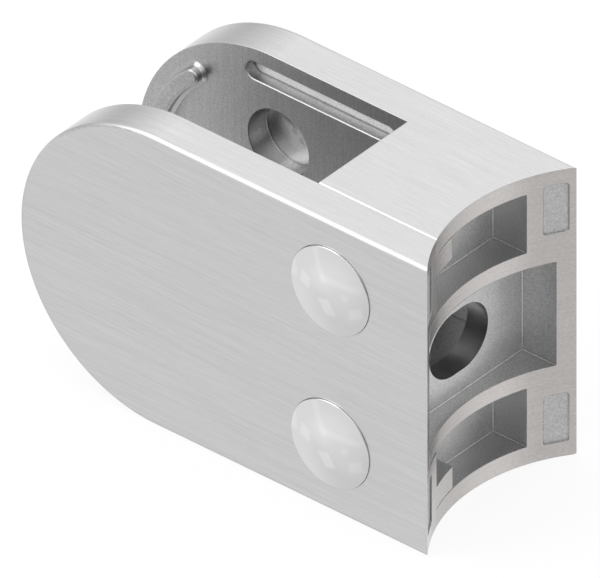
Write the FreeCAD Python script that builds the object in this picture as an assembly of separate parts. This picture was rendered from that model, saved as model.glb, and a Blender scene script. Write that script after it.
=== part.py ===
import FreeCAD, Part
import math
import os

# Glass panel clamp for a round post, in millimetres.
# X runs from the glass (-) to the post (+), Y from the front plate (-) to the back (+), Z is up.
# The origin is on the deepest line of the saddle, at mid thickness and mid height.

Vec = FreeCAD.Vector

# Overall size
clamp_reach = 63.0             # from the round end to the deepest line of the saddle
clamp_height = 45.0
clamp_thickness = 30.0
post_radius = 24.15            # the saddle fits a 48.3 mm post
front_plate_thickness = 6.0
rear_plate_thickness = 6.3
slot_to_saddle = 18.0          # metal between the glass slot's end and the saddle
outer_edge_round = 0.55
horn_round = 0.12              # the saddle's edges at the front and the back of the clamp
parting_bevel = 0.15

# Pockets cast into the saddle
middle_pocket_wall = 2.3       # left at the front and at the back of the clamp
middle_pocket_floor = 2.15     # floor behind the saddle's deepest line
fixing_web = 3.5               # wall with the fixing hole, behind the middle pocket
pocket_rib = 2.45              # between the middle pocket and each side pocket
side_pocket_floor = 3.95
side_pocket_height = 9.2
side_pocket_back_wall = 6.0
side_pocket_outer_wall = 2.7
pocket_corner_bevel = 0.11

# Fixing hole, longer across the clamp than it is high
fixing_hole_height = 9.8
fixing_hole_play = 2.0         # how much longer than high

# Spigot of the rear body, between the side pockets, which fits a recess in the front plate
spigot_depth = 3.6             # behind the saddle's deepest line
spigot_side_gap = 0.35         # above and below it
spigot_gap = 0.1               # at its front and behind it

# Tongues of the front plate, which locate it in the side pockets
tongue_length = 4.8
tongue_height = 3.35
tongue_gap = 0.1

# Bare recesses for the cast marks, two on each horn of the saddle
mark_width = 3.05
mark_height = 7.7
mark_depth = 0.25
mark_to_outer_face = 0.85
mark_to_edge = 2.2             # metal between the recess and the clamp's top or bottom
mark_corner_round = 0.5

# Seats for the glass pads, on the inner face of both plates
groove_width = 2.7
groove_depth = 1.8
groove_to_slot_end = 1.9
groove_past_round = 4.6        # from the round end's centre line to the groove's far end
groove_to_edge = 2.3           # metal between the groove and the clamp's top or bottom
groove_mouth_bevel = 0.11
pad_hole_mouth = 10.2
pad_hole_bottom = 9.8
pad_hole_depth = 3.55
pad_hole_dish = 0.45
pad_hole_to_slot_end = 21.6
pad_hole_to_edge = 13.3        # from its axis to the clamp's top or bottom
ridge_width = 2.2
ridge_height = 1.6
ridge_to_edge = 2.3            # metal between the ridge and the round end
ridge_half_angle = 49.0        # degrees each side of the clamp's middle
ridge_top_bevel = 0.15
ridge_root_bevel = 0.45

# Clamp screws, with a countersunk head and a hexagon socket
screw_to_edge = 10.5           # from its axis to the clamp's top or bottom
screw_to_saddle = 10.95
screw_diameter = 6.0
screw_length = 20.0            # with its head
screw_head_diameter = 12.0
screw_head_land = 0.3          # straight rim above the 45 degree cone
screw_head_gap = 0.1           # around the head's rim
screw_tip_chamfer = 0.7
socket_across_flats = 4.0
socket_depth = 2.5
screw_hole_diameter = 6.4      # clearance in the front plate
thread_clearance = 0.05        # radial, in the tapped hole
seat_clearance = 0.05          # between the head's cone and its seat
tap_run_out = 1.0              # tapped hole past the screw's tip
drill_point = 1.8

# Caps pressed in over the screw heads
cap_diameter = 13.0
cap_seat_depth = 1.6
cap_clearance = 0.03           # radial, in its seat
cap_proud = 0.22               # the dome's rim above the plate's face
cap_dome = 0.6
cap_rim_bevel = 0.05
cap_plate = 0.8                # metal at the cap's rim, above its hollow
cap_skirt = 0.8
cap_to_head = 0.1

overcut = 1.0                  # how far a cutting tool runs past the metal

# Places that follow from the sizes
half_height = clamp_height / 2
front_y = -clamp_thickness / 2
back_y = clamp_thickness / 2
parting_y = front_y + front_plate_thickness
rear_inner_y = back_y - rear_plate_thickness
round_end_x = half_height - clamp_reach
slot_end_x = -slot_to_saddle
side_pocket_top = half_height - side_pocket_outer_wall
side_pocket_bottom = side_pocket_top - side_pocket_height
middle_pocket_top = side_pocket_bottom - pocket_rib
middle_pocket_side = clamp_thickness / 2 - middle_pocket_wall
spigot_end_y = spigot_gap - middle_pocket_side
side_pocket_back_y = back_y - side_pocket_back_wall
groove_height = half_height - groove_to_edge - groove_width / 2
ridge_outer_radius = half_height - ridge_to_edge
ridge_inner_radius = ridge_outer_radius - ridge_width
screw_x = -screw_to_saddle
screw_heights = (half_height - screw_to_edge, screw_to_edge - half_height)
cap_seat_y = front_y + cap_seat_depth
head_top_y = cap_seat_y + cap_to_head
screw_tip_y = head_top_y + screw_length


def block(x_ends, y_ends, z_ends):
    corner = Vec(x_ends[0], y_ends[0], z_ends[0])
    return Part.makeBox(x_ends[1] - x_ends[0], y_ends[1] - y_ends[0], z_ends[1] - z_ends[0], corner)


def near(value, target):
    return abs(value - target) < 1e-4


def edges_where(solid, test):
    """The edges whose end points all pass the test."""
    return [edge for edge in solid.Edges if all(test(vertex.Point) for vertex in edge.Vertexes)]


def line(start, end):
    return Part.LineSegment(start, end).toShape()


def arc(start, middle, end):
    return Part.Arc(start, middle, end).toShape()


def turned_about_y(edges, x, z):
    """Solid of revolution about a line along Y, from edges drawn in the plane z = 0 with x as the radius."""
    solid = Part.Face(Part.Wire(edges)).revolve(Vec(0, 0, 0), Vec(0, 1, 0), 360)
    solid.translate(Vec(x, 0, z))
    return solid


def side_view_slab(y_start, y_end):
    """The clamp's side view, round at the glass end, as thick as from one y to the other."""
    top = Vec(round_end_x, y_start, half_height)
    bottom = Vec(round_end_x, y_start, -half_height)
    post_top = Vec(post_radius, y_start, half_height)
    post_bottom = Vec(post_radius, y_start, -half_height)
    tip = Vec(-clamp_reach, y_start, 0)
    wire = Part.Wire([arc(bottom, tip, top), line(top, post_top), line(post_top, post_bottom),
                      line(post_bottom, bottom)])
    return Part.Face(wire).extrude(Vec(0, y_end - y_start, 0))


def top_view_prism():
    """Everything behind the saddle, with the horns' edges rounded."""
    z_ends = (-half_height - overcut, half_height + overcut)
    prism = block((-clamp_reach - overcut, post_radius), (front_y, back_y), z_ends)
    post = Part.makeCylinder(post_radius, z_ends[1] - z_ends[0], Vec(post_radius, 0, z_ends[0]))
    prism = prism.cut(post)
    return prism.makeFillet(horn_round, edges_where(prism, lambda p: near(abs(p.y), back_y) and p.x > 0))


def edged_slab(outer_y, inner_y):
    """A slab of the side view, rounded along its outer edge and bevelled along its inner one."""
    slab = side_view_slab(min(outer_y, inner_y), max(outer_y, inner_y))

    def long_edges(y):
        return [edge for edge in slab.Edges if all(near(vertex.Y, y) for vertex in edge.Vertexes)
                and not near(edge.CenterOfMass.x, post_radius)]

    slab = slab.makeFillet(outer_edge_round, long_edges(outer_y))
    return slab.makeChamfer(parting_bevel, long_edges(inner_y))


def saddle_pocket(floor, back, z_ends):
    """Pocket that opens to the saddle and to the front plate, with its inner corners bevelled."""
    pocket = block((-floor, post_radius), (front_y, back), z_ends)
    corners = edges_where(pocket, lambda p: near(p.x, -floor) or near(p.y, back))
    return pocket.makeChamfer(pocket_corner_bevel, corners)


def middle_pocket():
    """The pocket around the fixing hole, which runs on through the spigot."""
    return saddle_pocket(middle_pocket_floor, middle_pocket_side, (-middle_pocket_top, middle_pocket_top))


def side_pocket(side):
    """Upper (side = 1) or lower (side = -1) pocket."""
    z_ends = sorted((side * side_pocket_bottom, side * side_pocket_top))
    return saddle_pocket(side_pocket_floor, side_pocket_back_y, z_ends)


def spigot():
    """Block between the side pockets, in front of the parting face."""
    z_ends = (-side_pocket_bottom, side_pocket_bottom)
    bar = block((-spigot_depth, post_radius), (spigot_end_y, parting_y + overcut), z_ends)
    return bar.common(top_view_prism())


def spigot_recess():
    half = side_pocket_bottom + spigot_side_gap
    x_ends = (-spigot_depth - spigot_gap, post_radius)
    return block(x_ends, (spigot_end_y - spigot_gap, parting_y + overcut), (-half, half))


def bolt_head_hollow():
    """The room behind the web, as wide as the pocket in front of it and open to the glass slot."""
    x_web = -middle_pocket_floor - fixing_web
    z_ends = (-middle_pocket_top, middle_pocket_top)
    room = block((slot_end_x, x_web), (-middle_pocket_side, middle_pocket_side), z_ends)
    way_in = block((slot_end_x - overcut, x_web), (parting_y, rear_inner_y), z_ends)
    return room.fuse(way_in).removeSplitter()


def fixing_hole():
    radius = fixing_hole_height / 2
    side = fixing_hole_play / 2
    x = slot_end_x
    wire = Part.Wire([line(Vec(x, -side, radius), Vec(x, side, radius)),
                      arc(Vec(x, side, radius), Vec(x, side + radius, 0), Vec(x, side, -radius)),
                      line(Vec(x, side, -radius), Vec(x, -side, -radius)),
                      arc(Vec(x, -side, -radius), Vec(x, -side - radius, 0), Vec(x, -side, radius))])
    return Part.Face(wire).extrude(Vec(slot_to_saddle, 0, 0))


def tongue(side):
    """Bar on the front plate that fits the outer wall of a side pocket."""
    outer = side * (side_pocket_top - tongue_gap)
    z_ends = sorted((outer, outer - side * tongue_height))
    x_ends = (-side_pocket_floor + tongue_gap, post_radius)
    bar = block(x_ends, (parting_y - overcut, parting_y + tongue_length), z_ends)
    return bar.common(top_view_prism())


def mark_recess(horn, side):
    """Shallow rounded recess in the saddle's surface, on the front (horn = -1) or back (horn = 1) horn."""
    outer = horn * (clamp_thickness / 2 - mark_to_outer_face)
    y_ends = sorted((outer, outer - horn * mark_width))
    middle = side * (half_height - mark_to_edge - mark_height / 2)
    bar = block((-mark_depth, post_radius), y_ends, (middle - mark_height / 2, middle + mark_height / 2))
    long_edges = [edge for edge in bar.Edges if near(edge.Vertexes[0].Y, edge.Vertexes[1].Y)
                  and near(edge.Vertexes[0].Z, edge.Vertexes[1].Z)]
    bar = bar.makeFillet(mark_corner_round, long_edges)
    reach = Part.makeCylinder(post_radius + mark_depth, clamp_height, Vec(post_radius, 0, -half_height))
    return bar.common(reach)


def pad_groove(side, face_y, into):
    """Straight groove with round ends, near the plate's top or bottom edge."""
    radius = groove_width / 2
    y = face_y - into * overcut
    z = side * groove_height
    end = slot_end_x - groove_to_slot_end - radius
    start = round_end_x - groove_past_round + radius
    wire = Part.Wire([line(Vec(start, y, z + radius), Vec(end, y, z + radius)),
                      arc(Vec(end, y, z + radius), Vec(end + radius, y, z), Vec(end, y, z - radius)),
                      line(Vec(end, y, z - radius), Vec(start, y, z - radius)),
                      arc(Vec(start, y, z - radius), Vec(start - radius, y, z), Vec(start, y, z + radius))])
    return Part.Face(wire).extrude(Vec(0, into * (groove_depth + overcut), 0))


def pad_hole(side, face_y, into):
    """Blind hole, a little narrower at its dished bottom."""
    mouth = pad_hole_mouth / 2
    bottom = pad_hole_bottom / 2
    edges = [line(Vec(0, -overcut, 0), Vec(mouth, -overcut, 0)),
             line(Vec(mouth, -overcut, 0), Vec(mouth, 0, 0)),
             line(Vec(mouth, 0, 0), Vec(bottom, pad_hole_depth, 0)),
             line(Vec(bottom, pad_hole_depth, 0), Vec(0, pad_hole_depth + pad_hole_dish, 0)),
             line(Vec(0, pad_hole_depth + pad_hole_dish, 0), Vec(0, -overcut, 0))]
    hole = turned_about_y(edges, 0, 0)
    if into < 0:
        hole.rotate(Vec(0, 0, 0), Vec(1, 0, 0), 180)
    hole.translate(Vec(slot_end_x - pad_hole_to_slot_end, face_y, side * (half_height - pad_hole_to_edge)))
    return hole


def pad_ridge(face_y, into):
    """C-shaped ridge around the round end, with round ends of its own."""
    outer, inner = ridge_outer_radius, ridge_inner_radius
    start = math.radians(180 - ridge_half_angle)
    end = math.radians(180 + ridge_half_angle)
    y = face_y + into * overcut

    def at(radius, angle):
        return Vec(round_end_x + radius * math.cos(angle), y, radius * math.sin(angle))

    def tip(angle, turn):
        """Outermost point of the round end that lies past an angle."""
        along = Vec(-math.sin(angle), 0, math.cos(angle))
        return at((outer + inner) / 2, angle) + along * (turn * ridge_width / 2)

    wire = Part.Wire([arc(at(outer, start), at(outer, math.pi), at(outer, end)),
                      arc(at(outer, end), tip(end, 1), at(inner, end)),
                      arc(at(inner, end), at(inner, math.pi), at(inner, start)),
                      arc(at(inner, start), tip(start, -1), at(outer, start))])
    ridge = Part.Face(wire).extrude(Vec(0, -into * (ridge_height + overcut), 0))
    top_y = face_y - into * ridge_height
    return ridge.makeChamfer(ridge_top_bevel, edges_where(ridge, lambda p: near(p.y, top_y)))


def with_pad_seat(plate, face_y, into):
    """Grooves, blind holes and the ridge that hold the glass pad on one plate."""
    cutters = [feature(side, face_y, into) for feature in (pad_groove, pad_hole) for side in (1, -1)]
    seat = plate.cut(cutters).fuse(pad_ridge(face_y, into)).removeSplitter()

    def at_ridge_root(p):
        radius = math.hypot(p.x - round_end_x, p.z)
        return near(p.y, face_y) and (near(radius, ridge_outer_radius) or near(radius, ridge_inner_radius))

    def at_groove_mouth(p):
        return near(p.y, face_y) and near(abs(abs(p.z) - groove_height), groove_width / 2)

    seat = seat.makeChamfer(ridge_root_bevel, edges_where(seat, at_ridge_root))
    return seat.makeChamfer(groove_mouth_bevel, edges_where(seat, at_groove_mouth))


def tapped_hole(z):
    """Blind hole for a clamp screw, from the parting face, with a drill point."""
    radius = screw_diameter / 2 + thread_clearance
    depth_y = screw_tip_y + tap_run_out
    edges = [line(Vec(0, parting_y - overcut, 0), Vec(radius, parting_y - overcut, 0)),
             line(Vec(radius, parting_y - overcut, 0), Vec(radius, depth_y, 0)),
             line(Vec(radius, depth_y, 0), Vec(0, depth_y + drill_point, 0)),
             line(Vec(0, depth_y + drill_point, 0), Vec(0, parting_y - overcut, 0))]
    return turned_about_y(edges, screw_x, z)


def screw_and_cap_seat(z):
    """Stepped hole through the front plate: cap seat, countersink and clearance hole."""
    seat = cap_diameter / 2 + cap_clearance
    hole = screw_hole_diameter / 2
    mouth = screw_head_diameter / 2 + screw_head_gap
    # the seat's cone stays parallel to the head's, so its radius grows by the clearance times root two
    cone_growth = seat_clearance * math.sqrt(2)
    land_end_y = head_top_y + screw_head_land
    cone_start_y = land_end_y + cone_growth - screw_head_gap
    cone_end_y = cone_start_y + mouth - hole
    edges = [line(Vec(0, front_y - overcut, 0), Vec(seat, front_y - overcut, 0)),
             line(Vec(seat, front_y - overcut, 0), Vec(seat, cap_seat_y, 0)),
             line(Vec(seat, cap_seat_y, 0), Vec(mouth, cap_seat_y, 0)),
             line(Vec(mouth, cap_seat_y, 0), Vec(mouth, cone_start_y, 0)),
             line(Vec(mouth, cone_start_y, 0), Vec(hole, cone_end_y, 0)),
             line(Vec(hole, cone_end_y, 0), Vec(hole, parting_y + overcut, 0)),
             line(Vec(hole, parting_y + overcut, 0), Vec(0, parting_y + overcut, 0)),
             line(Vec(0, parting_y + overcut, 0), Vec(0, front_y - overcut, 0))]
    return turned_about_y(edges, screw_x, z)


def make_rear_body():
    body = edged_slab(back_y, parting_y).common(top_view_prism()).fuse(spigot())
    glass_slot = block((-clamp_reach - overcut, slot_end_x), (parting_y - overcut, rear_inner_y),
                       (-half_height - overcut, half_height + overcut))
    cutters = [glass_slot, middle_pocket(), bolt_head_hollow(), fixing_hole()]
    cutters += [side_pocket(side) for side in (1, -1)]
    cutters += [mark_recess(1, side) for side in (1, -1)]
    cutters += [tapped_hole(z) for z in screw_heights]
    return with_pad_seat(body.cut(cutters), rear_inner_y, 1)


def make_front_plate():
    plate = edged_slab(front_y, parting_y).common(top_view_prism())
    cutters = [spigot_recess()]
    cutters += [mark_recess(-1, side) for side in (1, -1)]
    cutters += [screw_and_cap_seat(z) for z in screw_heights]
    plate = with_pad_seat(plate.cut(cutters), parting_y, -1)
    return plate.fuse([tongue(side) for side in (1, -1)]).removeSplitter()


def make_screw(z):
    """Countersunk screw with a hexagon socket, its thread left as a plain shank."""
    head = screw_head_diameter / 2
    shank = screw_diameter / 2
    land_end_y = head_top_y + screw_head_land
    shank_start_y = land_end_y + head - shank
    tip = shank - screw_tip_chamfer
    edges = [line(Vec(0, head_top_y, 0), Vec(head, head_top_y, 0)),
             line(Vec(head, head_top_y, 0), Vec(head, land_end_y, 0)),
             line(Vec(head, land_end_y, 0), Vec(shank, shank_start_y, 0)),
             line(Vec(shank, shank_start_y, 0), Vec(shank, screw_tip_y - screw_tip_chamfer, 0)),
             line(Vec(shank, screw_tip_y - screw_tip_chamfer, 0), Vec(tip, screw_tip_y, 0)),
             line(Vec(tip, screw_tip_y, 0), Vec(0, screw_tip_y, 0)),
             line(Vec(0, screw_tip_y, 0), Vec(0, head_top_y, 0))]
    corner_radius = socket_across_flats / math.sqrt(3)
    corners = [Vec(corner_radius * math.cos(math.radians(60 * i)), head_top_y - overcut,
                   corner_radius * math.sin(math.radians(60 * i))) for i in range(7)]
    socket = Part.Face(Part.makePolygon(corners)).extrude(Vec(0, socket_depth + overcut, 0))
    socket.translate(Vec(screw_x, 0, z))
    return turned_about_y(edges, screw_x, z).cut(socket)


def make_cap(z):
    """Domed cap with a skirt that stands on the floor of its seat."""
    radius = cap_diameter / 2
    inner = radius - cap_skirt
    rim_y = front_y - cap_proud
    dome_radius = radius - cap_rim_bevel
    edges = [line(Vec(0, rim_y, 0), Vec(dome_radius, rim_y, 0)),
             line(Vec(dome_radius, rim_y, 0), Vec(radius, rim_y + cap_rim_bevel, 0)),
             line(Vec(radius, rim_y + cap_rim_bevel, 0), Vec(radius, cap_seat_y, 0)),
             line(Vec(radius, cap_seat_y, 0), Vec(inner, cap_seat_y, 0)),
             line(Vec(inner, cap_seat_y, 0), Vec(inner, rim_y + cap_plate, 0)),
             line(Vec(inner, rim_y + cap_plate, 0), Vec(0, rim_y + cap_plate, 0)),
             line(Vec(0, rim_y + cap_plate, 0), Vec(0, rim_y, 0))]
    # the dome is part of a ball through its top and its rim
    ball_radius = (dome_radius ** 2 + cap_dome ** 2) / (2 * cap_dome)
    ball = Part.makeSphere(ball_radius, Vec(screw_x, rim_y - cap_dome + ball_radius, z))
    beyond_rim = Part.makeCylinder(radius, cap_dome + overcut, Vec(screw_x, rim_y, z), Vec(0, -1, 0))
    return turned_about_y(edges, screw_x, z).fuse(ball.common(beyond_rim)).removeSplitter()


upper, lower = screw_heights
parts = {
    "rear_body": make_rear_body(),
    "front_plate": make_front_plate(),
    "upper_clamp_screw": make_screw(upper),
    "lower_clamp_screw": make_screw(lower),
    "upper_screw_cap": make_cap(upper),
    "lower_screw_cap": make_cap(lower),
}

os.makedirs("parts", exist_ok=True)
for name, shape in parts.items():
    shape.exportStep(f"parts/{name}.step")
    print(name, "solids", len(shape.Solids), "valid", shape.isValid(), "volume", round(shape.Volume, 1))
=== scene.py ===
import math

import bmesh
import bpy
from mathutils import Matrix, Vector


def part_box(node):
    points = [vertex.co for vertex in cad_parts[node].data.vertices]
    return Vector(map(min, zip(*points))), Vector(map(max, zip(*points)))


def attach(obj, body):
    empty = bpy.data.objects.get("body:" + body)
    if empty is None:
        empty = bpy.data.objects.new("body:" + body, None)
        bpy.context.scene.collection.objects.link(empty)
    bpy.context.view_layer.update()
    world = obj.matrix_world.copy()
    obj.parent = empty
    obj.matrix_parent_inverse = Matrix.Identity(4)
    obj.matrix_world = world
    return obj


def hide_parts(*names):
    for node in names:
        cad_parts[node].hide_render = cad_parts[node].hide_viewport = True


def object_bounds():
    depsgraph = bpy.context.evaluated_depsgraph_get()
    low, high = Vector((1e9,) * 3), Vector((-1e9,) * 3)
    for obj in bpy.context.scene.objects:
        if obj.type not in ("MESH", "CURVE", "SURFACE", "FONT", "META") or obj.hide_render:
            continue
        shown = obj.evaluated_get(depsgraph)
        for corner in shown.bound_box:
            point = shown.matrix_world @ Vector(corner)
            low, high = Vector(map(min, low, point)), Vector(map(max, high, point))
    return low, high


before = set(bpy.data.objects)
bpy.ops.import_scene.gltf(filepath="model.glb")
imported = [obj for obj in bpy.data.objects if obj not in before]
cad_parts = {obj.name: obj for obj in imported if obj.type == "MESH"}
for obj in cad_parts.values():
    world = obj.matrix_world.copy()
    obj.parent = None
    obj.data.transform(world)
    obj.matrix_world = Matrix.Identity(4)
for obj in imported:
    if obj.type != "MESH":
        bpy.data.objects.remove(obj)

cad_low, cad_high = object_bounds()
MM = 0.001

# The picture that the camera matches
IMAGE_WIDTH, IMAGE_HEIGHT = 600, 578
PIXELS_PER_MM = 7.80
ORIGIN_PIXEL = (471.4, 347.0)          # where the frame's origin shows, from the top left
CAMERA_AZIMUTH = math.radians(40.0)
CAMERA_ELEVATION = math.radians(35.2)
CAMERA_DISTANCE = 0.4
CAMERA_REACH = 10.0

# Sizes of the clamp that its finishes follow
POST_RADIUS = 24.15 * MM
HALF_HEIGHT = cad_high.z
BACK_Y = cad_high.y
ROUND_END_X = cad_low.x + HALF_HEIGHT
EDGE_ROUND = 0.55 * MM
MARK_DEPTH = 0.25 * MM
REAR_INNER_Y = 8.7 * MM                # the plates' faces towards the glass
FRONT_INNER_Y = -9.0 * MM
SLOT_END_X = -18.0 * MM
RIDGE_RADIUS = 19.1 * MM               # of its middle, about the round end's axis
RIDGE_END_X = -10.0 * MM               # its two ends, from that axis
GROOVE_DEPTH = 1.8 * MM
GROOVE_HEIGHTS = (17.5 * MM, 20.2 * MM)
GROOVE_X = (-45.1 * MM, -19.9 * MM)
GROOVE_RIM = 0.15 * MM                 # room for its bevelled mouth
PAD_HOLE_X, PAD_HOLE_HEIGHT, PAD_HOLE_RADIUS = -39.6 * MM, 9.2 * MM, 5.1 * MM
PAD_HOLE_DEPTH = 3.55 * MM
SCREW_X, SCREW_HEIGHT, CAP_SEAT_RADIUS = -10.95 * MM, 12.0 * MM, 6.53 * MM
FIXING_WEB_X = (-5.65 * MM, -2.15 * MM)
FIXING_HOLE_RADIUS = 4.9 * MM
HOLLOW_HALF_HEIGHT = 8.05 * MM         # the room behind the web
TOLERANCE = 0.03 * MM

# How much of a face's normal lies along an axis
SQUARE_TO_AXIS = 0.99                  # at least, where the face is square to the axis
ALONG_AXIS = 0.1                       # at most, where the face runs along the axis
DISHED_FLOOR = 0.7                     # at least, on the pad holes' dished floors

# Thread of the clamp screws
SHANK_RADIUS = 3.0 * MM
SCREW_HEAD_LENGTH = 3.3 * MM           # with its cone
SCREW_TIP_CHAMFER = 0.7 * MM
THREAD_PITCH = 1.0 * MM
THREAD_DEPTH = 0.6 * MM
THREAD_CREST, THREAD_ROOT = 0.125, 0.25    # their widths, as shares of the pitch
THREAD_RUN_OUT = 1.5 * MM              # where it fades below the head
THREAD_ROWS, THREAD_COLUMNS = 12, 36   # in one pitch, and around
WELD_DISTANCE = 0.001 * MM
CUT_DISTANCE = 0.0001 * MM

# Noise scales per millimetre, along the brushing and across it
LONG_LINES = (0.09, 4.5)
FINE_LINES = (0.5, 9.0)
BROAD_BANDS = (0.02, 0.8)
LONG_SHARE = 0.6                       # the long lines' part in the brushing

# Noise scales per millimetre, on all three axes
EVEN_SPECKS = (6.0, 6.0, 6.0)
CAST_PATCHES = (0.35, 0.35, 0.35)
TURNED_RINGS = (6.0, 6.0, 6.0)
TURNED_GRAINS = (5.0, 5.0, 5.0)
POLISH_WAVES = (0.15, 0.15, 0.15)

# What the finishes share
NOISE_MIDDLE = (0.3, 0.7)              # the part of a noise that is stretched to its whole range
CORNER_TO_OPEN = (0.5, 0.95)           # open share of what is around a point, in a corner and outside it
ROUGHNESS_SWING = 0.04                 # either side of a finish's roughness
SAMPLES = 8                            # for rounded edges and inner corners

# Painted shade and highlight on the walls of the pad holes, by depth below the plate's face: a dark ring at
# the rim, a bright ring at the foot
RIM_RING = (0.08 * MM, 0.20 * MM)
RIM_PAINTED_SHADE = 0.45
FOOT_RING = (PAD_HOLE_DEPTH - 0.24 * MM, PAD_HOLE_DEPTH - 0.16 * MM)
FOOT_PAINTED_HIGHLIGHT = 1.55

# Softer edges around the ridge, by distance from its middle line
RIDGE_BAND = (1.6 * MM, 2.6 * MM)
RIDGE_EDGE = 0.5 * MM


# Nodes of materials and of the world

class NodeTree:
    """Short calls for the nodes used here."""

    def __init__(self, tree):
        self.tree = tree

    def add(self, kind, inputs=None, **settings):
        node = self.tree.nodes.new(kind)
        for key, value in settings.items():
            setattr(node, key, value)
        for key, value in (inputs or {}).items():
            self.fill(node.inputs[key], value)
        return node

    def fill(self, socket, value):
        """Links a socket to another one, or gives it a value."""
        if isinstance(value, bpy.types.NodeSocket):
            self.tree.links.new(value, socket)
        else:
            socket.default_value = value

    def maths(self, operation, *values):
        return self.add("ShaderNodeMath", dict(enumerate(values)), operation=operation).outputs[0]

    def product(self, first, *others):
        for other in others:
            first = self.maths("MULTIPLY", first, other)
        return first

    def vectors(self, operation, *values):
        return self.add("ShaderNodeVectorMath", dict(enumerate(values)), operation=operation).outputs[0]

    def scaled(self, vector, factor):
        inputs = {0: vector, "Scale": factor}
        return self.add("ShaderNodeVectorMath", inputs, operation="SCALE").outputs[0]

    def length(self, vector):
        return self.add("ShaderNodeVectorMath", {0: vector}, operation="LENGTH").outputs["Value"]

    def parts(self, vector):
        """A vector's X, Y and Z."""
        return self.add("ShaderNodeSeparateXYZ", {0: vector}).outputs

    def ramp(self, value, start, end, low, high, interpolation="LINEAR"):
        """From low to high while a value goes from start to end, and level outside them."""
        inputs = {"Value": value, "From Min": start, "From Max": end, "To Min": low, "To Max": high}
        return self.add("ShaderNodeMapRange", inputs, interpolation_type=interpolation).outputs["Result"]


class Shader(NodeTree):
    """A new material and its surface node."""

    def __init__(self, name):
        self.material = bpy.data.materials.new(name)
        self.material.use_nodes = True
        super().__init__(self.material.node_tree)
        self.surface = self.tree.nodes["Principled BSDF"]

    def set(self, **values):
        """Values or sockets for the surface's inputs; an underscore stands for a space."""
        for key, value in values.items():
            self.fill(self.surface.inputs[key.replace("_", " ")], value)

    def object_place(self):
        return self.add("ShaderNodeTexCoord").outputs["Object"]

    def object_mm(self):
        return self.scaled(self.object_place(), 1 / MM)

    def noise(self, place, per_mm, detail=2.0):
        """Noise from 0 to 1 whose grains have the size that the three per-mm scales give."""
        inputs = {"Vector": self.vectors("MULTIPLY", place, per_mm), "Scale": 1.0, "Detail": detail}
        return self.add("ShaderNodeTexNoise", inputs).outputs["Fac"]

    def around(self, noise, middle, swing):
        """A noise, stretched to run from a swing below a middle value to a swing above it."""
        return self.ramp(noise, *NOISE_MIDDLE, middle - swing, middle + swing)

    def bumped(self, height, distance_mm, radius):
        """A normal from a height field, over edges rounded by a radius in metres, a number or a socket."""
        edges = self.add("ShaderNodeBevel", {"Radius": radius}, samples=SAMPLES).outputs["Normal"]
        inputs = {"Height": height, "Distance": distance_mm * MM, "Normal": edges}
        return self.add("ShaderNodeBump", inputs).outputs[0]

    def painted_corner_shade(self, darkest, reach_mm=0.35):
        """Painted shade for a colour: 1 in the open, falling to the darkest value right in an inner corner.
        """
        inputs = {"Distance": reach_mm * MM}
        node = self.add("ShaderNodeAmbientOcclusion", inputs, samples=SAMPLES, only_local=True)
        return self.ramp(node.outputs["AO"], *CORNER_TO_OPEN, darkest, 1.0)

    def painted_rings_by_depth(self, y):
        """Painted shade in a dark ring at a pad hole's rim and a painted highlight in a bright ring at its
        foot, on the wall of either plate.
        """
        in_rear = self.maths("GREATER_THAN", y, 0.0)
        nearer = self.product(in_rear, -FRONT_INNER_Y - REAR_INNER_Y)
        face = self.maths("SUBTRACT", -FRONT_INNER_Y, nearer)
        depth = self.maths("SUBTRACT", self.maths("ABSOLUTE", y), face)
        rim = self.ramp(depth, *RIM_RING, RIM_PAINTED_SHADE, 1.0)
        foot = self.ramp(depth, *FOOT_RING, 1.0, FOOT_PAINTED_HIGHLIGHT)
        return self.product(rim, foot)

    def ridge_softness(self, plain, soft):
        """Edge radius that is larger around the ridge on the plates' inner faces."""
        offset = self.vectors("SUBTRACT", self.object_place(), (ROUND_END_X, 0, 0))
        radius = self.length(self.vectors("MULTIPLY", offset, (1, 0, 1)))
        away = self.maths("ABSOLUTE", self.maths("SUBTRACT", radius, RIDGE_RADIUS))
        near = self.ramp(away, *RIDGE_BAND, soft, plain)
        on_left = self.maths("LESS_THAN", self.parts(offset)["X"], RIDGE_END_X)
        extra = self.product(on_left, self.maths("SUBTRACT", near, plain))
        return self.maths("ADD", extra, plain)

    def tangent(self, direction):
        """The direction, laid into the surface: the finish scatters light along it."""
        normal = self.add("ShaderNodeNewGeometry").outputs["Normal"]
        along = self.vectors("CROSS_PRODUCT", direction, normal)
        return self.vectors("CROSS_PRODUCT", normal, along)


# Finishes

def brushed(name, color, across, roughness=0.34, contrast=0.07, speckle=0.03,
            speck_per_mm=EVEN_SPECKS, edge_mm=0.14, by_ridge=False):
    """Satin steel, brushed square to the across direction."""
    shader = Shader(name)
    place = shader.object_mm()
    axis = "XYZ".index(across)

    def lined(scales):
        per_mm = [scales[0]] * 3
        per_mm[axis] = scales[1]
        return shader.noise(place, per_mm, detail=1.0)

    long_part = shader.product(lined(LONG_LINES), LONG_SHARE)
    fine_part = shader.product(lined(FINE_LINES), 1 - LONG_SHARE)
    lines = shader.maths("ADD", long_part, fine_part)
    specks = shader.noise(place, speck_per_mm, detail=1.0)
    shade = shader.product(shader.around(lines, 1.0, swing=contrast),
                           shader.around(lined(BROAD_BANDS), 1.0, swing=0.01),
                           shader.around(specks, 1.0, swing=speckle))
    across_vector = [0.0, 0.0, 0.0]
    across_vector[axis] = 1.0
    edge = edge_mm * MM
    radius = shader.ridge_softness(edge, RIDGE_EDGE) if by_ridge else edge
    shader.set(Base_Color=shader.scaled(color, shade), Metallic=1.0,
               Roughness=shader.around(lines, roughness, ROUGHNESS_SWING),
               Anisotropic=0.5, Tangent=shader.tangent(across_vector),
               Normal=shader.bumped(lines, distance_mm=0.004, radius=radius))
    return shader.material


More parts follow.
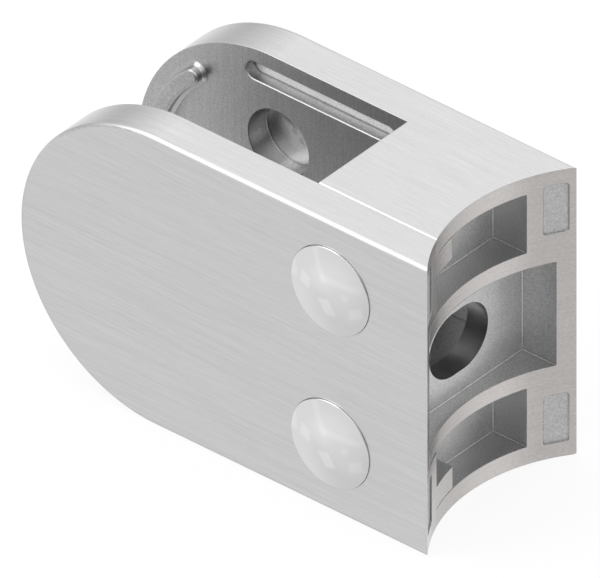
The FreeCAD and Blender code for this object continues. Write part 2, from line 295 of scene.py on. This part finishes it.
def turned(name, color, roughness, corner=1.0, painted_edge_rings=False):
    """Bored metal, with its rings around the axes of the pad holes; a corner below 1 adds painted shade in
    inner corners, and the edge rings add a painted shade ring at the rim and a painted highlight ring at the
    foot.
    """
    shader = Shader(name)
    place = shader.parts(shader.object_place())
    from_axis = shader.maths("SUBTRACT", shader.maths("ABSOLUTE", place["Z"]), PAD_HOLE_HEIGHT)
    height = shader.product(from_axis, shader.maths("SIGN", place["Z"]))
    beside = shader.maths("SUBTRACT", place["X"], PAD_HOLE_X)
    offset = shader.add("ShaderNodeCombineXYZ", {"X": beside, "Z": height}).outputs[0]
    radius = shader.length(offset)
    rings = shader.add("ShaderNodeCombineXYZ", {"X": radius, "Y": place["Y"]}).outputs[0]
    lines = shader.noise(shader.scaled(rings, 1 / MM), TURNED_RINGS)
    grains = shader.noise(shader.object_mm(), TURNED_GRAINS)
    shade = shader.product(shader.around(lines, 1.0, swing=0.05), shader.around(grains, 1.0, swing=0.16))
    # painted shade in inner corners, and painted shade and highlight rings on the pad holes' walls
    if corner < 1.0:
        shade = shader.product(shade, shader.painted_corner_shade(corner, reach_mm=0.5))
    if painted_edge_rings:
        shade = shader.product(shade, shader.painted_rings_by_depth(place["Y"]))
    # on the floor the light scatters along the radius, on the wall along Y
    along_y = shader.add("ShaderNodeCombineXYZ", {"Y": radius}).outputs[0]
    outward = shader.vectors("ADD", offset, along_y)
    shader.set(Base_Color=shader.scaled(color, shade), Metallic=1.0, Roughness=roughness,
               Anisotropic=0.75, Tangent=shader.tangent(outward),
               Normal=shader.bumped(lines, distance_mm=0.003, radius=0.22 * MM))
    return shader.material


def cast(name, color, roughness=0.5, grain=5.0, contrast=0.08, bump=0.012, edge_mm=0.12, corner=1.0):
    """Blasted casting with a fine grain, and painted shade in its inner corners when corner is below 1."""
    shader = Shader(name)
    place = shader.object_mm()
    grains = shader.noise(place, (grain, grain, grain), detail=3.0)
    patches = shader.noise(place, CAST_PATCHES)
    shade = shader.product(shader.around(grains, 1.0, swing=contrast),
                           shader.around(patches, 1.0, swing=0.04))
    # painted shade: the colour darkens in inner corners
    if corner < 1.0:
        shade = shader.product(shade, shader.painted_corner_shade(corner))
    shader.set(Base_Color=shader.scaled(color, shade), Metallic=1.0,
               Roughness=shader.around(patches, roughness, ROUGHNESS_SWING),
               Normal=shader.bumped(grains, distance_mm=bump, radius=edge_mm * MM))
    return shader.material


def polished(name, color, roughness):
    """Smooth, shiny metal with faint waves."""
    shader = Shader(name)
    waves = shader.noise(shader.object_mm(), POLISH_WAVES, detail=1.0)
    shader.set(Base_Color=shader.scaled(color, shader.around(waves, 1.0, swing=0.01)), Metallic=1.0,
               Roughness=shader.around(waves, roughness, swing=0.01),
               Normal=shader.bumped(waves, distance_mm=0.002, radius=0.06 * MM))
    return shader.material


# Finishes of the castings, face by face

def grey(level):
    return (level, level, level)


# a corner below 1 darkens a finish's colour in its inner corners: painted shade
FINISHES = {
    "side_brushed": (brushed, dict(color=grey(0.598), across="Z")),
    "wall_brushed": (brushed, dict(color=grey(0.625), across="Y", speckle=0.05)),
    "saddle_brushed": (brushed, dict(color=(0.53, 0.510, 0.499), across="Z", roughness=0.30, contrast=0.05,
                                     speckle=0.08, speck_per_mm=(2.2, 2.2, 8.0), edge_mm=0.2)),
    "cast_inner": (cast, dict(color=grey(0.56), roughness=0.4, contrast=0.22, edge_mm=0.05, corner=0.65)),
    # painted light: the room behind the web takes a lighter copy of the cast finish
    "hollow": (cast, dict(color=grey(0.68), contrast=0.16)),
    "cast_mark": (cast, dict(color=grey(0.52), roughness=0.55, grain=3.0, contrast=0.15, bump=0.022,
                             corner=0.6)),
    # painted light: the mark's walls take a lighter copy of the mark's cast finish, thinning the shaded line
    # along them
    "mark_wall": (cast, dict(color=grey(0.66), roughness=0.45, grain=3.0, contrast=0.1, edge_mm=0.03)),
    # painted light: the grooves' floors take a copy of the cast finish lightened to full white
    "groove_floor": (cast, dict(color=grey(1.0), grain=4.0, contrast=0.22, bump=0.03, corner=0.35)),
    "groove_wall": (cast, dict(color=grey(0.50), roughness=0.4, contrast=0.16, edge_mm=0.04, corner=0.6)),
    "ground_inner": (brushed, dict(color=grey(0.47), across="X", roughness=0.38, contrast=0.11, speckle=0.20,
                                   by_ridge=True)),
    "ridge_side": (cast, dict(color=grey(0.52), roughness=0.34, contrast=0.10, bump=0.006, edge_mm=0.3)),
    # painted light and shade: the pad holes' floors and walls take a lit copy and a shaded copy of one bored
    # finish
    "bored_floor": (turned, dict(color=grey(0.95), roughness=0.24, corner=0.0)),
    "bored_wall": (turned, dict(color=grey(0.45), roughness=0.34, painted_edge_rings=True)),
    "hole_wall": (cast, dict(color=grey(0.42), roughness=0.32, grain=6.0, contrast=0.10, bump=0.006,
                             edge_mm=0.03)),
    "machined": (cast, dict(color=grey(0.50), roughness=0.32, grain=8.0, contrast=0.04, bump=0.004)),
}
FINISH_INDEX = {name: index for index, name in enumerate(FINISHES)}


def outline_depth(point):
    """How far inside the clamp's side view a point lies."""
    if point.x > ROUND_END_X:
        return HALF_HEIGHT - abs(point.z)
    return HALF_HEIGHT - math.hypot(point.x - ROUND_END_X, point.z)


def saddle_depth(point):
    """How far a point lies behind the surface that touches the post."""
    return math.hypot(point.x - POST_RADIUS, point.y) - POST_RADIUS


def depth_in_plate(point):
    """How far a point lies behind the face that its plate turns to the glass."""
    return point.y - REAR_INNER_Y if point.y > 0 else FRONT_INNER_Y - point.y


def inside_bore(corners, x, height, radius):
    """Whether a face lies in one of two bores along Y, above and below the middle."""
    centre = sum(corners, Vector()) / len(corners)
    return all(math.hypot(p.x - x, abs(p.z) - height) < radius + TOLERANCE for p in corners + [centre])


def in_groove(point):
    """Whether a point lies on a pad groove's bevelled mouth, wall or floor."""
    in_height = GROOVE_HEIGHTS[0] - GROOVE_RIM < abs(point.z) < GROOVE_HEIGHTS[1] + GROOVE_RIM
    return in_height and GROOVE_X[0] - GROOVE_RIM < point.x < GROOVE_X[1] + GROOVE_RIM


def finish_of(corners, normal):
    """The finish of one face of a casting, from where its corners lie."""
    upright = abs(normal.z) < ALONG_AXIS
    square_to_y = abs(normal.y) > SQUARE_TO_AXIS
    if upright and all(abs(saddle_depth(p)) < TOLERANCE for p in corners):
        return "saddle_brushed"
    if upright and all(abs(saddle_depth(p) - MARK_DEPTH) < TOLERANCE for p in corners):
        return "cast_mark"
    # the mark's walls get the lighter copy of its cast finish: painted light
    if all(-TOLERANCE < saddle_depth(p) < MARK_DEPTH + TOLERANCE for p in corners):
        return "mark_wall"
    if all(abs(abs(p.y) - BACK_Y) < TOLERANCE for p in corners):
        return "side_brushed"
    if not square_to_y and all(outline_depth(p) < EDGE_ROUND + TOLERANCE for p in corners):
        return "wall_brushed"
    if inside_bore(corners, PAD_HOLE_X, PAD_HOLE_HEIGHT, PAD_HOLE_RADIUS):
        # the floor gets the lit copy of the bored finish, the wall the shaded copy: painted light and shade
        return "bored_floor" if abs(normal.y) > DISHED_FLOOR else "bored_wall"
    if inside_bore(corners, SCREW_X, SCREW_HEIGHT, CAP_SEAT_RADIUS):
        return "machined"
    if square_to_y and all(abs(depth_in_plate(p)) < TOLERANCE for p in corners):
        return "ground_inner"
    if all(p.x < SLOT_END_X + TOLERANCE for p in corners):
        # the grooves' floors get the copy of the cast finish lightened to full white: painted light
        if all(abs(depth_in_plate(p) - GROOVE_DEPTH) < TOLERANCE for p in corners):
            return "groove_floor"
        if square_to_y:
            return "ground_inner"
        if all(in_groove(p) for p in corners):
            return "groove_wall"
        if all(p.x < ROUND_END_X + RIDGE_END_X for p in corners):
            return "ridge_side"
    in_web = all(FIXING_WEB_X[0] - TOLERANCE < p.x < FIXING_WEB_X[1] + TOLERANCE for p in corners)
    in_hole = all(abs(p.z) < FIXING_HOLE_RADIUS + TOLERANCE for p in corners)
    if in_web and in_hole and abs(normal.x) < ALONG_AXIS:
        return "hole_wall"
    # the room behind the web gets the lighter copy of the cast finish: painted light
    in_room = all(SLOT_END_X - TOLERANCE < p.x < FIXING_WEB_X[0] + TOLERANCE for p in corners)
    if in_room and all(abs(p.z) < HOLLOW_HALF_HEIGHT + TOLERANCE for p in corners):
        return "hollow"
    return "cast_inner"


def dress(node, materials):
    """Gives a piece its materials, in order, and returns its mesh."""
    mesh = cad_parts[node].data
    mesh.materials.clear()
    for material in materials:
        mesh.materials.append(material)
    return mesh


finish_materials = [make(name, **settings) for name, (make, settings) in FINISHES.items()]
for casting in ("rear_body", "front_plate"):
    casting_mesh = dress(casting, finish_materials)
    for face in casting_mesh.polygons:
        face_corners = [casting_mesh.vertices[index].co for index in face.vertices]
        face.material_index = FINISH_INDEX[finish_of(face_corners, face.normal)]
cap_steel = polished("cap_steel", grey(0.70), roughness=0.06)
screw_steel = cast("screw_steel", (0.50, 0.50, 0.49), roughness=0.35, grain=7.0, contrast=0.05, bump=0.006)
for side in ("upper", "lower"):
    dress(f"{side}_screw_cap", [cap_steel])
    dress(f"{side}_clamp_screw", [screw_steel])


# The clamp screws again, with their helical threads cut

def thread_radius(turns_along, turns_around, from_head, to_tip):
    """Radius of the threaded shank, from places along and around it in turns of the thread."""
    from_crest = abs((turns_along - turns_around) % 1.0 - 0.5)
    flank = (from_crest - THREAD_CREST / 2) / (0.5 - (THREAD_CREST + THREAD_ROOT) / 2)
    full_depth = THREAD_DEPTH * min(1.0, from_head / THREAD_RUN_OUT)
    threaded = SHANK_RADIUS - full_depth * min(max(flank, 0.0), 1.0)
    return min(threaded, SHANK_RADIUS - SCREW_TIP_CHAMFER + to_tip)


def closed_pairs(ring):
    """Each vertex of a ring with the next one."""
    return list(zip(ring, ring[1:] + ring[:1]))


def add_ring(mesh, y, height, radius_at):
    """Vertices around a screw's axis and the edges that join them."""
    ring = []
    for column in range(THREAD_COLUMNS):
        turn = column / THREAD_COLUMNS
        angle = 2 * math.pi * turn
        radius = radius_at(turn)
        place = (SCREW_X + radius * math.sin(angle), y, height + radius * math.cos(angle))
        ring.append(mesh.verts.new(place))
    for pair in closed_pairs(ring):
        mesh.edges.new(pair)
    return ring


def thread_rings(mesh, height, shank_y, tip_y):
    """The shank's rings, from the second row below the head to the tip."""
    step = THREAD_PITCH / THREAD_ROWS
    rings = []
    for row in range(2, round((tip_y - shank_y) / step) + 1):
        y = min(shank_y + row * step, tip_y)
        along = (y - shank_y) / THREAD_PITCH
        rings.append(add_ring(mesh, y, height,
                              lambda turn: thread_radius(along, turn, y - shank_y, tip_y - y)))
    return rings


def threaded_screw(side, height):
    """One screw: the head as it is, and a shank with a right-hand thread down to its tip."""
    node = f"{side}_clamp_screw"
    head_y, tip_y = (corner.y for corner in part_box(node))
    shank_y = head_y + SCREW_HEAD_LENGTH
    mesh = bmesh.new()
    mesh.from_mesh(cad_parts[node].data)
    bmesh.ops.remove_doubles(mesh, verts=mesh.verts, dist=WELD_DISTANCE)
    everything = mesh.verts[:] + mesh.edges[:] + mesh.faces[:]
    first_row = (0, shank_y + THREAD_PITCH / THREAD_ROWS, 0)
    bmesh.ops.bisect_plane(mesh, geom=everything, dist=CUT_DISTANCE, plane_co=first_row, plane_no=(0, 1, 0),
                           clear_outer=True)
    open_edges = [edge for edge in mesh.edges if edge.is_boundary]
    rings = thread_rings(mesh, height, shank_y, tip_y)
    first_edges = [mesh.edges.get(pair) for pair in closed_pairs(rings[0])]
    bmesh.ops.bridge_loops(mesh, edges=open_edges + first_edges)
    for lower, upper in zip(rings, rings[1:]):
        for (low, low_after), (high, high_after) in zip(closed_pairs(lower), closed_pairs(upper)):
            mesh.faces.new((low, low_after, high_after, high))
    mesh.faces.new(rings[-1])
    bmesh.ops.recalc_face_normals(mesh, faces=mesh.faces)
    name = f"{side}_threaded_screw"
    data = bpy.data.meshes.new(name)
    mesh.to_mesh(data)
    mesh.free()
    data.materials.clear()
    data.materials.append(screw_steel)
    screw = bpy.data.objects.new(name, data)
    bpy.context.scene.collection.objects.link(screw)
    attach(screw, f"{side}_screw")
    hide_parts(node)


threaded_screw("upper", SCREW_HEIGHT)
threaded_screw("lower", -SCREW_HEIGHT)


# Floor

FLOOR_SIZE = 4.0
FLOOR_WHITE_SHARE = 0.86               # plain white in what the camera sees of it


def pale_floor():
    bpy.ops.mesh.primitive_plane_add(size=FLOOR_SIZE, location=(0, 0, cad_low.z))
    floor = bpy.context.object
    floor.name = "floor"
    shader = Shader("floor")
    shader.set(Base_Color=(0.9, 0.9, 0.9, 1.0), Roughness=0.9)
    white = shader.add("ShaderNodeEmission", {"Color": (1, 1, 1, 1), "Strength": 1.0})
    path = shader.add("ShaderNodeLightPath").outputs
    reflected = shader.maths("MAXIMUM", path["Is Glossy Ray"], path["Is Transmission Ray"])
    seen = shader.maths("MAXIMUM", path["Is Camera Ray"], reflected)
    share = shader.product(seen, FLOOR_WHITE_SHARE)
    mix = shader.add("ShaderNodeMixShader", {0: share, 1: shader.surface.outputs[0], 2: white.outputs[0]})
    shader.fill(shader.tree.nodes["Material Output"].inputs["Surface"], mix.outputs[0])
    floor.data.materials.append(shader.material)
    # the metal reflects the white world below the floor as well as above it
    floor.visible_glossy = False
    floor.visible_shadow = False


# World

# Height of a direction, and the brightness there
WORLD_ROWS = [(-1.0, 0.96), (-0.42, 0.97), (-0.15, 0.84), (0.10, 0.52), (0.36, 0.83), (0.50, 0.92),
              (0.64, 1.28), (0.85, 1.7), (0.93, 1.2), (1.0, 0.97)]

# Direction, degrees from it where a spot is full and where it ends, and what it adds
WORLD_SPOTS = [
    # low behind the clamp and low in front of it
    ((-0.60, 0.55, -0.58), 10, 34, 0.24),
    ((-0.285, -0.583, -0.761), 3, 26, -0.16),
    ((0.10, -0.85, -0.52), 5, 36, -0.10),
    # what the saddle shows from its front horn to its back edge
    ((0.15, 0.80, -0.58), 5, 30, -0.10),
    ((0.72, 0.385, -0.577), 5, 30, 0.13),
    ((0.74, -0.25, -0.60), 5, 35, -0.14),
    ((0.80, 0.06, -0.57), 3, 12, -0.12),
    # in front, for the start of the rounded edge above the front face
    ((-0.52, -0.84, 0.14), 4, 24, 0.5),
    ((-0.45, -0.70, -0.55), 3, 13, 0.07),
    # level behind, for the far edge of the top
    ((-0.50, 0.86, 0.02), 3, 15, 0.5),
    # below and to the left, for the thin dark line along the front face's rounded edge
    ((-0.52, 0.0, -0.85), 4, 17, -0.30),
    ((-0.68, 0.0, -0.73), 4, 17, -0.30),
    ((-0.82, 0.0, -0.57), 4, 17, -0.30),
]

# The soft windows and the bent light edge that the domed caps show: middle and half size in the
# direction's x and z, how far x leans with z and z with x, width of the soft edge, and what it adds
WORLD_PANELS = [
    ((-0.649, -0.560), (0.024, 0.030), (0.0, -0.55), 0.004, 0.10),
    ((-0.527, -0.650), (0.032, 0.038), (-0.62, 0.15), 0.004, 0.12),
    ((-0.414, -0.563), (0.020, 0.020), (0.0, 0.2), 0.006, 0.06),
    ((-0.355, -0.633), (0.042, 0.028), (0.0, 0.45), 0.005, 0.07),
    ((-0.707, -0.520), (0.009, 0.055), (-0.2, 0.0), 0.003, 0.08),
    ((-0.588, -0.430), (0.018, 0.090), (-0.44, 0.0), 0.017, 0.07),
    ((-0.436, -0.492), (0.125, 0.018), (0.0, 0.08), 0.017, 0.07),
    ((-0.575, -0.520), (0.060, 0.050), (0.0, 0.0), 0.045, 0.06),
]


class Studio(NodeTree):
    """A white world for the camera, with a few soft bright and dark areas in what the metal reflects."""

    def __init__(self):
        world = bpy.data.worlds.new("studio")
        bpy.context.scene.world = world
        world.use_nodes = True
        super().__init__(world.node_tree)
        self.direction = self.add("ShaderNodeTexCoord").outputs["Generated"]
        self.sides = self.parts(self.direction)
        self.total = WORLD_ROWS[0][1]
        for (low, dark), (high, bright) in zip(WORLD_ROWS, WORLD_ROWS[1:]):
            self.brighten(self.soft_ramp(self.sides["Z"], low, high, 0.0, bright - dark))

    def soft_ramp(self, value, start, end, low, high):
        return self.ramp(value, start, end, low, high, interpolation="SMOOTHSTEP")

    def brighten(self, amount):
        self.total = self.maths("ADD", self.total, amount)

    def spot(self, direction, inner_degrees, outer_degrees, amount):
        """A round soft area."""
        inputs = {0: self.direction, 1: Vector(direction).normalized()}
        facing = self.add("ShaderNodeVectorMath", inputs, operation="DOT_PRODUCT").outputs["Value"]
        edge = math.cos(math.radians(outer_degrees)), math.cos(math.radians(inner_degrees))
        self.brighten(self.soft_ramp(facing, *edge, 0.0, amount))

    def panel(self, middle, half, lean, soft, amount):
        """A window low in front, with leaning sides."""
        across = self.maths("SUBTRACT", self.sides["X"], middle[0])
        upward = self.maths("SUBTRACT", self.sides["Z"], middle[1])
        leant_across = self.maths("SUBTRACT", across, self.product(upward, lean[0]))
        leant_upward = self.maths("SUBTRACT", upward, self.product(across, lean[1]))
        inside = self.maths("LESS_THAN", self.sides["Y"], 0.0)
        for offset, size in ((leant_across, half[0]), (leant_upward, half[1])):
            within = self.soft_ramp(self.maths("ABSOLUTE", offset), size - soft, size + soft, 1.0, 0.0)
            inside = self.product(inside, within)
        self.brighten(self.product(inside, amount))

    def finish(self):
        sees = self.add("ShaderNodeLightPath").outputs["Is Camera Ray"]
        rest = self.product(self.maths("SUBTRACT", 1.0, sees), self.total)
        background = self.tree.nodes["Background"]
        self.fill(background.inputs["Strength"], self.maths("ADD", sees, rest))
        self.fill(background.inputs["Color"], (1, 1, 1, 1))


def studio_world():
    studio = Studio()
    for spot in WORLD_SPOTS:
        studio.spot(*spot)
    for panel in WORLD_PANELS:
        studio.panel(*panel)
    studio.finish()


# Lamp

def soft_lamp(name, direction, distance, size, watts):
    """A square lamp that looks at the clamp's middle from a direction."""
    lamp = bpy.data.lights.new(name, "AREA")
    lamp.shape = "SQUARE"
    lamp.size = size
    lamp.energy = watts
    lamp_object = bpy.data.objects.new(name, lamp)
    bpy.context.scene.collection.objects.link(lamp_object)
    middle = (cad_low + cad_high) / 2
    lamp_object.location = middle + Vector(direction).normalized() * distance
    lamp_object.rotation_euler = Vector(direction).to_track_quat("Z", "Y").to_euler()


# Camera: no perspective, from the photograph's direction

def photo_camera():
    camera = bpy.data.cameras.new("camera")
    camera.type = "ORTHO"
    camera.ortho_scale = IMAGE_WIDTH / PIXELS_PER_MM * MM
    camera.clip_end = CAMERA_REACH
    right = Vector((math.cos(CAMERA_AZIMUTH), math.sin(CAMERA_AZIMUTH), 0))
    towards = Vector((math.sin(CAMERA_AZIMUTH) * math.cos(CAMERA_ELEVATION),
                      -math.cos(CAMERA_AZIMUTH) * math.cos(CAMERA_ELEVATION), math.sin(CAMERA_ELEVATION)))
    up = towards.cross(right)
    offset = right * (IMAGE_WIDTH / 2 - ORIGIN_PIXEL[0]) + up * (ORIGIN_PIXEL[1] - IMAGE_HEIGHT / 2)
    camera_object = bpy.data.objects.new("camera", camera)
    bpy.context.scene.collection.objects.link(camera_object)
    camera_object.location = offset / PIXELS_PER_MM * MM + towards * CAMERA_DISTANCE
    camera_object.rotation_euler = towards.to_track_quat("Z", "Y").to_euler()
    bpy.context.scene.camera = camera_object


pale_floor()
studio_world()
soft_lamp("key", direction=(-0.525, -0.50, 0.69), distance=0.6, size=0.45, watts=0.90)
photo_camera()
bpy.context.scene.view_settings.view_transform = "Standard"
